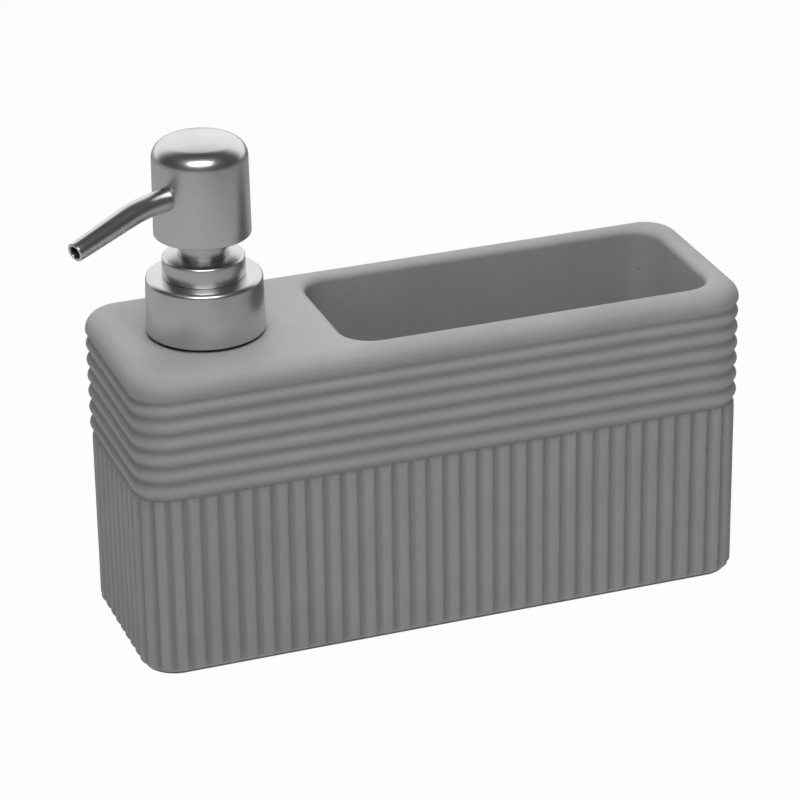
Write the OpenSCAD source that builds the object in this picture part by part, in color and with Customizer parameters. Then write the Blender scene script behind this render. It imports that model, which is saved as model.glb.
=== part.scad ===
// Soap pump caddy: a ribbed ceramic block that holds a soap tank, a lift-out pump and an open sponge well.
// Origin at the centre of the base, on the surface it stands on. +X towards the well, -Y is the front.

/* [Body] */
// Length of the ceramic body
body_l = 184.4; // [170:0.2:220]
// Depth of the ceramic body, front to back
body_w = 62.4; // [60:0.2:80]
// Height of the deck above the table
body_h = 92; // [86:0.2:110]
// Radius of the four upright corners
corner_r = 11.1; // [9:0.1:16]
// Thickness of the tank's side walls
tank_wall = 5; // [4:0.5:6]
// Thickness of the deck over the tank
deck_t = 6; // [4:0.5:8]
// Thickness of the ceramic under the tank
tank_floor_t = 5.5; // [4:0.5:8]
// Radius of the tank's inner edges
tank_r = 6; // [4:0.5:7]
// Radius of the roll along the bottom edge
base_roll = 1.2; // [0.8:0.1:3.5]

/* [Ribs and flutes] */
// Number of level ribs round the top
rib_count = 6; // [4:1:7]
// Height of one rib
rib_pitch = 5; // [4.5:0.1:5.5]
// Depth of the groove between two ribs
rib_depth = 1; // [0.4:0.1:1.2]
// Height of the plain lip above the ribs
lip_h = 6.7; // [5.8:0.1:8]
// Radius of the roll along the lip's outer edge
lip_roll = 5; // [3:0.1:5]
// Number of upright flutes on the front, and as many on the back
flutes_front = 33; // [21:2:33]
// Number of upright flutes on each end
flutes_side = 13; // [9:2:15]
// Width of one flute on the front and back
flute_pitch = 5.16; // [4.8:0.02:5.16]
// Depth of the groove between two flutes
flute_depth = 1.2; // [0.4:0.1:1.3]
// How far the flutes stand back from the ribs
flute_inset = 0.5; // [0.3:0.1:1]

/* [Sponge well] */
// Width of the rim along the front and back of the well
well_rim = 7.3; // [7.3:0.1:10]
// Width of the rim at the far end of the well
well_end_rim = 8.2; // [7.3:0.1:12]
// Width of the deck between the pump's neck and the wall that closes off the well
neck_land = 16.8; // [8:0.2:40]
// Height of the well's floor above the table
well_floor_z = 7; // [5:0.5:40]
// Radius of the well's upright corners
well_r = 9; // [6:0.5:12]
// Radius of the roll along the well's rim
well_roll = 2.5; // [1:0.1:2.5]
// Radius between the well's walls and floor
well_floor_r = 4; // [2:0.5:6]
// Thickness of the wall between the well and the tank
partition_t = 5; // [4:0.5:6]

/* [Base pad] */
// Thickness of the foam pad under the body
pad_t = 0.6; // [0.4:0.1:2]
// How far the pad stays inside the body's bottom edge
pad_inset = 3; // [2:0.5:8]

/* [Pump collar] */
// Distance of the pump's axis from the body's outer end
pump_inset = 29.7; // [28:0.1:34]
// Radius of the hole in the deck
neck_r = 13.2; // [12.6:0.1:14]
// Outer radius of the collar at its foot
collar_r = 17; // [16.6:0.1:19]
// How much the collar's radius shrinks towards its top
collar_draft = 0.45; // [0.2:0.05:0.6]
// Height of the collar shell
collar_h = 16.3; // [15.5:0.1:20]
// Wall of the collar shell
collar_wall = 1.2; // [0.8:0.1:1.4]
// Radius of the collar's top edge
collar_edge_r = 1.3; // [0.5:0.1:1.4]
// Outer radius of the lock ring
ring_r = 11.8; // [11:0.1:11.8]
// Height of the lock ring above the collar
ring_h = 6.05; // [5:0.05:7]
// Radius of the lock ring's top edge
ring_edge_r = 0.8; // [0.3:0.1:1.2]
// Outer radius of the lock ring's hub, which plugs into the collar
hub_r = 9; // [8.7:0.1:9.4]
// Length of the lock ring's hub
hub_l = 6; // [4:0.5:7]
// Outer radius of the metallised sleeve on the stem
sleeve_r = 7.1; // [6.8:0.05:7.1]
// Wall of the metallised sleeve
sleeve_wall = 1.1; // [0.8:0.1:1.3]
// Gap round the sleeve where it passes the lock ring
sleeve_gap = 0.4; // [0.3:0.1:0.6]

/* [Neck plug] */
// Thickness of the plug's flange, seen as a dark line under the collar
flange_t = 0.8; // [0.5:0.1:1.5]
// How far the flange stays inside the collar's foot
flange_inset = 0.8; // [0.3:0.1:2]
// Depth of the plug in the neck
plug_l = 14; // [10:0.5:20]
// Number of sealing rings round the plug
plug_rings = 3; // [2:1:4]
// How far each sealing ring stands out of the plug
plug_ring_out = 0.7; // [0.4:0.1:1]
// Height of the plug's spigot inside the collar
spigot_h = 5.2; // [4:0.1:6]
// Wall of the spigot
spigot_wall = 3.7; // [3:0.1:3.7]
// Thickness of the gasket under the housing's flange
gasket_t = 1; // [0.6:0.1:1.6]

/* [Pump housing] */
// Outer radius of the pump's barrel
barrel_r = 8; // [7.8:0.1:8.2]
// Wall of the barrel
barrel_wall = 1.5; // [1.2:0.1:1.6]
// Length from the housing's top to the barrel's floor
barrel_l = 50; // [46:0.5:56]
// Thickness of the housing's flange
housing_flange_t = 2; // [1.6:0.1:3]
// Depth of the recess that holds the chaplet's lip
recess_d = 2.4; // [2:0.1:3]
// Wall left round that recess
recess_wall = 0.4; // [0.3:0.1:0.4]
// Thickness of the chaplet's lip
chaplet_lip_t = 1; // [0.8:0.1:1.5]
// Length of the chaplet below its lip
chaplet_l = 9.6; // [6:0.2:12]
// Radius of the valve chamber
chamber_r = 3.2; // [3:0.1:3.6]
// Height of the valve chamber
chamber_h = 4.5; // [4.2:0.1:6]
// Height of the valve's conical seat
seat_h = 2; // [1.8:0.1:2.2]
// Radius of the inlet passage below the seat
inlet_r = 1.6; // [1.4:0.1:1.8]
// Length of the inlet passage
inlet_l = 2.5; // [2:0.1:4]
// Outer radius of the nose that holds the dip tube
nose_r = 4.6; // [4.4:0.1:5]
// Depth of the dip tube in the nose
nose_l = 8; // [6:0.5:10]
// Radius of the inlet ball
ball_r = 2.4; // [2.2:0.05:2.5]
// Thickness of the retainer above the ball
retainer_t = 2.5; // [2:0.1:4]
// Width of the retainer's crossed slots
retainer_slot_w = 1.4; // [1:0.1:1.8]
// Outer radius of the dip tube
dip_r = 3; // [2.6:0.1:3.2]
// Wall of the dip tube
dip_wall = 0.7; // [0.5:0.1:1]
// Height of the dip tube's end above the tank floor
dip_gap = 3; // [2:0.5:8]

/* [Plunger and spring] */
// Outer radius of the stem
stem_r = 3.5; // [3.2:0.1:3.6]
// Radius of the channel in the stem, the actuator and the spout's root
channel_r = 1.7; // [1.4:0.1:1.8]
// Length of the piston seal
piston_l = 8; // [6:0.5:10]
// Depth of the waist between the piston seal's two lips
piston_waist = 0.6; // [0.3:0.1:0.8]
// Radius of the foot that carries the piston seal
foot_r = 5.7; // [5.4:0.1:5.8]
// Thickness of that foot
foot_t = 1; // [0.8:0.1:1.5]
// Travel of the pump head when pressed
stroke = 11; // [8:0.5:11]
// Radius of the return spring, to the middle of its wire
spring_r = 5.2; // [5:0.1:5.4]
// Radius of the spring's wire
wire_r = 0.45; // [0.35:0.05:0.55]
// Number of the spring's turns
spring_turns = 9; // [7:1:10]

/* [Pump head] */
// Gap between the lock ring and the head
head_gap = 6.35; // [6:0.05:9]
// Outer radius of the head at its lower edge
head_r = 13.75; // [13.6:0.05:15]
// How much the head's radius shrinks up to its shoulder
head_draft = 0.25; // [0.1:0.05:0.6]
// Height of the head from its lower edge to its shoulder
head_side_h = 22.45; // [20:0.05:26]
// Radius of the head's shoulder
shoulder_r = 5; // [3:0.1:6]
// Slope of the dome where it meets the shoulder, in degrees
dome_slope = 12; // [8:1:20]
// Wall of the head shell
head_wall = 1.3; // [1:0.1:1.4]
// Height of the actuator's disc above the head's lower edge
disc_z = 18.4; // [18:0.1:19]
// Thickness of the actuator's disc
disc_t = 2; // [1.5:0.1:3]
// Depth of the stem in the actuator
stem_grip = 8; // [6:0.5:9]

/* [Spout] */
// How far the spout is turned towards the front from the body's end, in degrees
spout_turn = 26; // [0:1:40]
// Height of the spout above the head's lower edge
spout_z = 13.55; // [12:0.05:13.6]
// Reach of the spout's tip from the pump's axis
spout_reach = 46.8; // [40:0.2:55]
// Distance from the axis at which the spout's two legs would meet
spout_bend_at = 23; // [20:0.5:26]
// Angle by which the spout bends down
spout_bend = 12.8; // [8:0.2:20]
// Radius of the bend
spout_bend_r = 40; // [30:1:44]
// Outer radius of the spout at its root
spout_root_r = 3.4; // [3.2:0.05:3.6]
// Outer radius of the spout at the bend
spout_mid_r = 3.15; // [3:0.05:3.2]
// Outer radius of the spout at its tip
spout_tip_r = 2.7; // [2.5:0.05:3]
// Radius of the spout's bore
spout_bore_r = 1.85; // [1.6:0.05:2]
// Wall of the socket that holds the spout's root
socket_wall = 1.25; // [1:0.05:1.3]
// Depth of the spout's root and its seal in the socket
socket_l = 3.7; // [3:0.1:4.2]
// Thickness of the spout's seal
seal_t = 1; // [0.6:0.1:1.4]

/* [Fits] */
// Clearance between pieces that slide, turn or plug into one another
fit_gap = 0.05; // [0.02:0.01:0.08]

/* [Hidden] */

clay = [0.52, 0.52, 0.52];
pearl = [0.72, 0.72, 0.73];
polymer = [0.9, 0.9, 0.9];
soft_grey = [0.25, 0.25, 0.26];

// Sides of large, medium and small round pieces
large_fn = 96;
medium_fn = 64;
small_fn = 48;
// Steps of the body's rounded forms
corner_steps = 8;
rib_steps = 6;
swell_steps = 4;
lip_steps = 6;
foot_steps = 4;
tank_steps = 3;
rim_steps = 5;
// Steps of a turned piece's rounded edges
edge_steps = 8;
dome_steps = 5;
// How far a cutting solid runs past the face that it opens
cut = 1;

// Heights of the body, above the table
rib_top_z = body_h - lip_h;
rib_base_z = rib_top_z - rib_count * rib_pitch;
pump_x = -body_l / 2 + pump_inset;
tank_x0 = -body_l / 2 + tank_wall;
tank_x1 = pump_x + neck_r + neck_land;
tank_z0 = pad_t + tank_floor_t;
well_x0 = tank_x1 + partition_t;
well_x1 = body_l / 2 - well_end_rim;
well_l = well_x1 - well_x0;

// Heights of the pump, above the deck
spigot_top = flange_t + spigot_h;
spigot_r = barrel_r + 2 * fit_gap + spigot_wall;
flange_step = 0.2;
flange_r = spigot_r + flange_step;
housing_z0 = spigot_top + gasket_t;
housing_top = housing_z0 + housing_flange_t;
recess_z = housing_top - recess_d;
recess_r = barrel_r - recess_wall;
bore_r = barrel_r - barrel_wall;
barrel_floor = housing_top - barrel_l;
seat_top = barrel_floor - chamber_h;
seat_bottom = seat_top - seat_h;
socket_top = seat_bottom - inlet_l;
nose_bottom = socket_top - nose_l;
collar_top = flange_t + collar_h;
collar_top_r = collar_r - collar_draft;
ring_base = collar_top + fit_gap;
ring_top = ring_base + ring_h;
ring_bore_r = sleeve_r + sleeve_gap;
head_base = ring_top + head_gap;

// The ball sits on the cone that opens from the inlet to the chamber
cone_angle = atan((chamber_r - inlet_r) / seat_h);
ball_z = seat_bottom - inlet_r / tan(cone_angle) + ball_r / sin(cone_angle) + fit_gap;

// Heights of the plunger at rest
press_gap = 1;
sleeve_bottom = recess_z + chaplet_lip_t + stroke + press_gap;
sleeve_in_r = sleeve_r - sleeve_wall;
sleeve_lap = 0.2;
core_step = ring_top + stroke - sleeve_lap;
hub_grip = 8;
stem_top = head_base + stem_grip;
rest_gap = 0.3;
piston_top = recess_z - chaplet_l - rest_gap;
foot_top = piston_top - piston_l;
stem_bottom = foot_top - foot_t;
retainer_top = barrel_floor + retainer_t;

// Head and spout
head_top_r = head_r - head_draft;
shoulder_z = head_base + head_side_h;
disc_base = head_base + disc_z;
disc_r = head_r - head_draft * (disc_z + disc_t) / head_side_h - head_wall - fit_gap;
spout_axis_z = head_base + spout_z;
socket_bore_r = spout_root_r + fit_gap;
socket_r = socket_bore_r + socket_wall;
socket_end = sqrt(pow(disc_r - fit_gap, 2) - pow(socket_r, 2));
socket_floor = socket_end - socket_l;
spout_start = socket_floor + seal_t + fit_gap;
bend_leg = spout_bend_r * tan(spout_bend / 2);
bend_start = spout_bend_at - bend_leg;
tip_leg = (spout_reach - spout_bend_at) / cos(spout_bend) - bend_leg;
// The bend runs a little way into both legs and is a hair thinner than they are
bend_lap = 0.6;
bend_step = 0.05;

// A ring of points round a rounded rectangle, seen from above it runs against the clock
function rounded_ring(l, w, r, z) = [
    for (c = [0 : 3], k = [0 : corner_steps])
        let (a = 90 * c + 90 * k / corner_steps, x = l / 2 - r, y = w / 2 - r)
        [(c == 0 || c == 3 ? x : -x) + r * cos(a), (c < 2 ? y : -y) + r * sin(a), z]];

// The same ring drawn in by an inset, with its corners kept concentric
least_corner_r = 0.5;
function inset_ring(l, w, r, step) =
    rounded_ring(l - 2 * step[0], w - 2 * step[0], max(r - step[0], least_corner_r), step[1]);

// Angles of a quarter turn in equal steps
function quarter_turn(steps) = [for (s = [0 : steps]) 90 * s / steps];

// A closed solid through rings with the same number of points, from the lowest ring to the highest
module loft(rings) {
    n = len(rings[0]);
    m = len(rings);
    polyhedron(
        points = [for (ring = rings, p = ring) p],
        faces = concat(
            [[for (i = [0 : n - 1]) i]],
            [[for (i = [n - 1 : -1 : 0]) (m - 1) * n + i]],
            [for (j = [0 : m - 2], i = [0 : n - 1])
                let (a = j * n + i, b = j * n + (i + 1) % n)
                [a + n, b + n, b, a]]),
        convexity = 4);
}

// Inset and height along one rib, a round arc between two sharp grooves
rib_arc_r = (pow(rib_pitch / 2, 2) + pow(rib_depth, 2)) / (2 * rib_depth);
function rib_step(z0, t) = [
    rib_depth - (sqrt(pow(rib_arc_r, 2) - pow((t - 0.5) * rib_pitch, 2)) - rib_arc_r + rib_depth),
    z0 + t * rib_pitch];

// The ribs, then the lip that swells out of the last groove and rolls over onto the deck
lip_swell_h = lip_h - lip_roll;
rib_profile = concat(
    [for (k = [0 : rib_count - 1], s = [0 : rib_steps - 1])
        rib_step(rib_base_z + k * rib_pitch, s / rib_steps)],
    [for (a = quarter_turn(swell_steps))
        if (a < 90) [rib_depth * (1 - sin(a)), rib_top_z + lip_swell_h * (1 - cos(a))]],
    [for (a = quarter_turn(lip_steps)) [lip_roll * (1 - cos(a)), body_h - lip_roll * (1 - sin(a))]]);

// Perimeter of the fluted part, measured against the clock from the middle of the front
flute_l = body_l - 2 * flute_inset;
flute_w = body_w - 2 * flute_inset;
flute_r = corner_r - flute_inset;
half_front = flute_l / 2 - flute_r;
half_side = flute_w / 2 - flute_r;
arc_l = flute_r * PI / 2;
quarter_l = half_front + arc_l + half_side;
fluted_front = flutes_front * flute_pitch / 2;
side_pitch = (quarter_l - fluted_front) * 2 / flutes_side;

// A point of the first quarter, from the front's middle to the end's middle, cut in by a depth
function quarter_point(s, depth) =
    s < half_front ? [s, -flute_w / 2 + depth]
    : s < half_front + arc_l
        ? let (a = -90 + (s - half_front) / flute_r * 180 / PI)
            [half_front + (flute_r - depth) * cos(a), -half_side + (flute_r - depth) * sin(a)]
    : [flute_l / 2 - depth, -half_side + (s - half_front - arc_l)];

// One flute is a broad ridge between two soft grooves, which start at this share of its half width
groove_from = 0.36;
function groove_share(v) = let (t = max(0, (v - groove_from) / (1 - groove_from))) t * t * (3 - 2 * t);
function ridge_depth(u) = flute_depth * groove_share(abs(2 * u - 1));
flute_steps = [0, 0.16, 0.32, 0.68, 0.84];
// Points nearer than this to a mirror line count as lying on it
on_line = 0.01;
quarter_marks = concat(
    [for (k = [0 : (flutes_front - 1) / 2], u = flute_steps)
        let (s = (k - 0.5 + u) * flute_pitch)
        if (s >= 0) [s, ridge_depth(u)]],
    [for (k = [0 : (flutes_side - 1) / 2], u = flute_steps)
        let (s = fluted_front + (k + u) * side_pitch)
        if (s <= quarter_l + on_line) [s, ridge_depth(u)]]);
quarter = [for (m = quarter_marks) quarter_point(m[0], m[1])];
function turned(list) = [for (i = [len(list) - 1 : -1 : 0]) list[i]];
half_outline = concat(quarter, [for (p = turned(quarter)) if (p[1] < -on_line) [p[0], -p[1]]]);
flute_outline = concat(half_outline, [for (p = turned(half_outline)) if (p[0] > on_line) [-p[0], p[1]]]);

module body_outside() {
    // Bottom edge, rolled under
    foot_inset = flute_inset + flute_depth / 2;
    loft([for (a = quarter_turn(foot_steps))
        inset_ring(body_l, body_w, corner_r,
            [foot_inset + base_roll * (1 - sin(a)), pad_t + base_roll * (1 - cos(a))])]);
    // Upright flutes
    translate([0, 0, pad_t + base_roll / 2])
        linear_extrude(rib_base_z - pad_t - base_roll / 2) polygon(flute_outline);
    // Level ribs and the lip
    loft([for (step = rib_profile) inset_ring(body_l, body_w, corner_r, step)]);
}

module tank_space() {
    l = tank_x1 - tank_x0;
    w = body_w - 2 * tank_wall;
    z1 = body_h - deck_t;
    upright_r = tank_r + 1;
    translate([(tank_x0 + tank_x1) / 2, 0, 0])
        loft(concat(
            [for (a = quarter_turn(tank_steps))
                inset_ring(l, w, upright_r, [tank_r * (1 - sin(a)), tank_z0 + tank_r * (1 - cos(a))])],
            [for (a = quarter_turn(tank_steps))
                inset_ring(l, w, upright_r, [tank_r * (1 - cos(a)), z1 - tank_r * (1 - sin(a))])]));
}

module well_space() {
    w = body_w - 2 * well_rim;
    translate([(well_x0 + well_x1) / 2, 0, 0])
        loft(concat(
            [for (a = quarter_turn(foot_steps))
                let (z = well_floor_z + well_floor_r * (1 - cos(a)))
                inset_ring(well_l, w, well_r, [well_floor_r * (1 - sin(a)), z])],
            [for (a = quarter_turn(rim_steps))
                let (z = body_h - well_roll * (1 - sin(a)))
                inset_ring(well_l, w, well_r, [-well_roll * (1 - cos(a)), z])],
            [inset_ring(well_l, w, well_r, [-well_roll, body_h + cut])]));
}

module ceramic_body() {
    color(clay)
        difference() {
            body_outside();
            tank_space();
            well_space();
            translate([pump_x, 0, body_h - deck_t - cut])
                cylinder(h = deck_t + 2 * cut, r = neck_r, $fn = large_fn);
        }
}

module base_pad() {
    inset = flute_inset + base_roll + pad_inset;
    r = corner_r - inset;
    l = body_l - 2 * inset;
    w = body_w - 2 * inset;
    color(soft_grey)
        linear_extrude(pad_t) {
            square([l - 2 * r, w], center = true);
            square([l, w - 2 * r], center = true);
            for (x = [-1, 1], y = [-1, 1])
                translate([x * (l / 2 - r), y * (w / 2 - r)]) circle(r = r, $fn = large_fn);
        }
}

// Everything of the pump stands on its axis, with heights counted from the deck
module on_pump() {
    translate([pump_x, 0, body_h]) children();
}

// A ring-shaped piece turned from a half section
module turned_piece(section) {
    on_pump() rotate_extrude($fn = large_fn) polygon(section);
}

function arc_points(x, z, r, a0, a1, n) = [
    for (k = [0 : n]) let (a = a0 + (a1 - a0) * k / n) [x + r * cos(a), z + r * sin(a)]];

module neck_plug() {
    in_r = barrel_r + 2 * fit_gap;
    shank_r = neck_r - 2 * fit_gap - plug_ring_out;
    pitch = plug_l / (plug_rings + 1);
    chamfer = 1;
    flat = 0.2;
    foot = 0.9;
    color(soft_grey)
        turned_piece(concat(
            [[in_r, -plug_l], [shank_r - chamfer, -plug_l], [shank_r, -plug_l + chamfer]],
            [for (k = [1 : plug_rings],
                    p = [[0, -foot], [plug_ring_out, -flat], [plug_ring_out, flat], [0, foot]])
                [shank_r + p[0], -plug_l + k * pitch + p[1]]],
            [[shank_r, fit_gap], [collar_r - flange_inset, fit_gap], [collar_r - flange_inset, flange_t],
                [spigot_r, flange_t], [spigot_r, spigot_top], [in_r, spigot_top]]));
}

module collar_shell() {
    in_r = collar_r - collar_wall;
    color(pearl)
        turned_piece(concat(
            [[in_r, flange_t], [collar_r, flange_t]],
            arc_points(collar_top_r - collar_edge_r, collar_top - collar_edge_r, collar_edge_r,
                0, 90, edge_steps),
            [[hub_r + fit_gap, collar_top], [hub_r + fit_gap, collar_top - collar_wall],
                [in_r - collar_draft, collar_top - collar_wall]]));
}

module collar_insert() {
    foot_in_r = flange_r + 2 * fit_gap;
    out_r = collar_r - collar_wall - fit_gap;
    top_z = collar_top - collar_wall - fit_gap;
    z0 = flange_t + fit_gap;
    web = 1;
    rib_r0 = foot_in_r + web;
    rib_r1 = out_r - collar_draft - web;
    core_top = top_z - 2 * web;
    color(polymer)
        turned_piece([
            [foot_in_r, z0], [rib_r0, z0], [rib_r0, core_top], [rib_r1, core_top], [rib_r1, z0],
            [out_r, z0], [out_r - collar_draft, top_z], [hub_r + fit_gap, top_z],
            [hub_r + fit_gap, housing_top], [foot_in_r, housing_top]]);
}

module flange_gasket() {
    color(soft_grey)
        turned_piece([[barrel_r + 2 * fit_gap, spigot_top], [spigot_r, spigot_top], [spigot_r, housing_z0],
            [barrel_r + 2 * fit_gap, housing_z0]]);
}

module lock_ring() {
    draft = 0.1;
    color(pearl)
        turned_piece(concat(
            [[ring_bore_r, ring_base - hub_l], [hub_r, ring_base - hub_l]],
            [[hub_r, ring_base], [ring_r, ring_base]],
            arc_points(ring_r - ring_edge_r - draft, ring_top - ring_edge_r, ring_edge_r,
                0, 90, edge_steps),
            [[ring_bore_r, ring_top]]));
}

module chaplet() {
    color(polymer)
        turned_piece([
            [stem_r + fit_gap, recess_z - chaplet_l], [bore_r - fit_gap, recess_z - chaplet_l],
            [bore_r - fit_gap, recess_z], [recess_r - fit_gap, recess_z],
            [recess_r - fit_gap, recess_z + chaplet_lip_t], [stem_r + fit_gap, recess_z + chaplet_lip_t]]);
}

module pump_housing() {
    color(polymer)
        turned_piece([
            [dip_r + fit_gap, nose_bottom], [nose_r, nose_bottom], [nose_r, seat_bottom],
            [barrel_r, barrel_floor], [barrel_r, housing_z0], [flange_r, housing_z0],
            [flange_r, housing_top], [recess_r, housing_top], [recess_r, recess_z], [bore_r, recess_z],
            [bore_r, barrel_floor], [chamber_r, barrel_floor], [chamber_r, seat_top],
            [inlet_r, seat_bottom], [inlet_r, socket_top], [dip_r + fit_gap, socket_top]]);
}

module ball_retainer() {
    slot_end = 0.5;
    slot_l = 2 * (chamber_r - slot_end);
    color(polymer)
        on_pump()
            difference() {
                translate([0, 0, barrel_floor])
                    cylinder(h = retainer_t, r = bore_r - fit_gap, $fn = large_fn);
                for (a = [0, 90])
                    rotate([0, 0, a])
                        translate([-slot_l / 2, -retainer_slot_w / 2, barrel_floor - cut])
                            cube([slot_l, retainer_slot_w, retainer_t + 2 * cut]);
            }
}

module inlet_ball() {
    color("silver") on_pump() translate([0, 0, ball_z]) sphere(r = ball_r, $fn = small_fn);
}

module dip_tube() {
    z1 = socket_top - fit_gap;
    z0 = tank_z0 + dip_gap - body_h;
    color(polymer)
        turned_piece([[dip_r - dip_wall, z0], [dip_r, z0], [dip_r, z1], [dip_r - dip_wall, z1]]);
}

// The spring is one wire of six sides swept along a helix, eight rings to a turn
wire_sides = 6;
turn_rings = 8;
spring_rings = spring_turns * turn_rings;
spring_z0 = retainer_top + wire_r + fit_gap;
spring_z1 = stem_bottom - wire_r - fit_gap;
function wire_point(i, j, end_z) =
    let (a = 360 * i / turn_rings, b = 360 * j / wire_sides, r = spring_r + wire_r * cos(b))
    [r * cos(a), r * sin(a), spring_z0 + (end_z - spring_z0) * i / spring_rings + wire_r * sin(b)];

// Least distance between the surfaces of two neighbouring turns, on the wire's own points
function turn_gap(end_z) = min([
    for (i = [0 : turn_rings - 1], d = [-1 : 1], j = [0 : wire_sides - 1], k = [0 : wire_sides - 1])
        norm(wire_point(i, j, end_z) - wire_point(i + turn_rings + d, k, end_z))]);
echo(spring_turn_gap_at_rest = turn_gap(spring_z1), spring_turn_gap_pressed = turn_gap(spring_z1 - stroke));

module return_spring() {
    color("silver")
        on_pump()
            polyhedron(
                points = [for (i = [0 : spring_rings], j = [0 : wire_sides - 1])
                    wire_point(i, j, spring_z1)],
                faces = concat(
                    [[for (j = [0 : wire_sides - 1]) j]],
                    [[for (j = [wire_sides - 1 : -1 : 0]) spring_rings * wire_sides + j]],
                    [for (i = [0 : spring_rings - 1], j = [0 : wire_sides - 1], t = [0, 1])
                        let (a = i * wire_sides + j, b = i * wire_sides + (j + 1) % wire_sides)
                        t == 0 ? [a, a + wire_sides, b] : [b, a + wire_sides, b + wire_sides]]),
                convexity = 10);
}

module stem() {
    color(polymer)
        turned_piece([
            [channel_r, stem_bottom], [foot_r, stem_bottom], [foot_r, foot_top], [stem_r, foot_top],
            [stem_r, stem_top], [channel_r, stem_top]]);
}

module piston_seal() {
    out_r = bore_r - fit_gap;
    lip = piston_l / 4;
    color(soft_grey)
        turned_piece([
            [stem_r + fit_gap, foot_top], [out_r, foot_top], [out_r, foot_top + lip],
            [out_r - piston_waist, foot_top + 1.5 * lip], [out_r - piston_waist, piston_top - 1.5 * lip],
            [out_r, piston_top - lip], [out_r, piston_top], [stem_r + fit_gap, piston_top]]);
}

module stem_sleeve() {
    color(pearl)
        turned_piece([[sleeve_in_r, sleeve_bottom], [sleeve_r, sleeve_bottom], [sleeve_r, core_step],
            [sleeve_in_r, core_step]]);
}

// Pieces of the spout run along +X here and are turned to the rest position
module along_spout() {
    on_pump()
        rotate([0, 0, 180 + spout_turn])
            translate([0, 0, spout_axis_z])
                rotate([0, 90, 0]) children();
}

module actuator_core() {
    hub_bottom = core_step - hub_grip;
    color(polymer)
        difference() {
            union() {
                turned_piece([
                    [0, hub_bottom], [sleeve_in_r - fit_gap, hub_bottom],
                    [sleeve_in_r - fit_gap, core_step], [sleeve_r - fit_gap, core_step],
                    [sleeve_r - fit_gap, disc_base], [disc_r, disc_base],
                    [disc_r, disc_base + disc_t], [0, disc_base + disc_t]]);
                along_spout() cylinder(h = socket_end, r = socket_r, $fn = medium_fn);
            }
            on_pump() translate([0, 0, hub_bottom - cut])
                cylinder(h = stem_top + fit_gap - hub_bottom + cut, r = stem_r + fit_gap, $fn = medium_fn);
            on_pump() translate([0, 0, stem_top - cut])
                cylinder(h = spout_axis_z - stem_top + cut, r = channel_r, $fn = small_fn);
            along_spout() cylinder(h = socket_end, r = channel_r, $fn = small_fn);
            along_spout()
                translate([0, 0, socket_floor])
                    cylinder(h = socket_l + cut, r = socket_bore_r, $fn = medium_fn);
        }
}

module spout_seal() {
    color(soft_grey)
        along_spout()
            translate([0, 0, socket_floor])
                difference() {
                    cylinder(h = seal_t, r = spout_root_r, $fn = medium_fn);
                    translate([0, 0, -cut]) cylinder(h = seal_t + 2 * cut, r = channel_r, $fn = small_fn);
                }
}

// The spout's stretches: a straight root, a taper, a bend and a tapered tip leg
module spout_run(root, mid, tip, over) {
    rotate([0, 90, 0]) {
        translate([0, 0, spout_start - over])
            cylinder(h = head_r - spout_start + over, r = root, $fn = medium_fn);
        translate([0, 0, head_r])
            cylinder(h = bend_start - head_r, r1 = root, r2 = mid, $fn = medium_fn);
    }
    translate([bend_start, 0, -spout_bend_r]) {
        rotate([90, 0, 0]) rotate([0, 0, 90 - spout_bend - bend_lap])
            rotate_extrude(angle = spout_bend + 2 * bend_lap, $fn = large_fn)
                translate([spout_bend_r, 0]) circle(r = mid - bend_step, $fn = medium_fn);
        rotate([0, spout_bend, 0]) translate([0, 0, spout_bend_r]) rotate([0, 90, 0])
            cylinder(h = tip_leg + over, r1 = mid, r2 = tip, $fn = medium_fn);
    }
}

module spout_tube() {
    color(pearl)
        on_pump() rotate([0, 0, 180 + spout_turn]) translate([0, 0, spout_axis_z])
            difference() {
                spout_run(spout_root_r, spout_mid_r, spout_tip_r, 0);
                spout_run(spout_bore_r, spout_bore_r, spout_bore_r, cut);
            }
}

// Half outline of the head from its lower edge to the middle of its dome, drawn in by a wall
function head_outline(wall) =
    let (
        r = shoulder_r - wall,
        x = head_top_r - shoulder_r,
        end_a = 90 - dome_slope,
        end_x = x + r * cos(end_a),
        end_z = shoulder_z + r * sin(end_a),
        dome_r = end_x / sin(dome_slope))
    concat(
        [[head_r - wall, head_base]],
        arc_points(x, shoulder_z, r, 0, end_a, edge_steps),
        arc_points(0, end_z - dome_r * cos(dome_slope), dome_r, end_a, 90, dome_steps));

module head_shell() {
    color(pearl)
        difference() {
            turned_piece(concat(head_outline(0), turned(head_outline(head_wall))));
            along_spout()
                translate([0, 0, spout_start]) cylinder(h = head_r, r = socket_bore_r, $fn = medium_fn);
        }
}

ceramic_body();
base_pad();
neck_plug();
collar_shell();
collar_insert();
flange_gasket();
lock_ring();
chaplet();
pump_housing();
ball_retainer();
inlet_ball();
dip_tube();
return_spring();
stem();
piston_seal();
stem_sleeve();
actuator_core();
spout_seal();
spout_tube();
head_shell();
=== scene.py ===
import math

import bmesh
import bpy
from mathutils import Matrix, Vector


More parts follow.
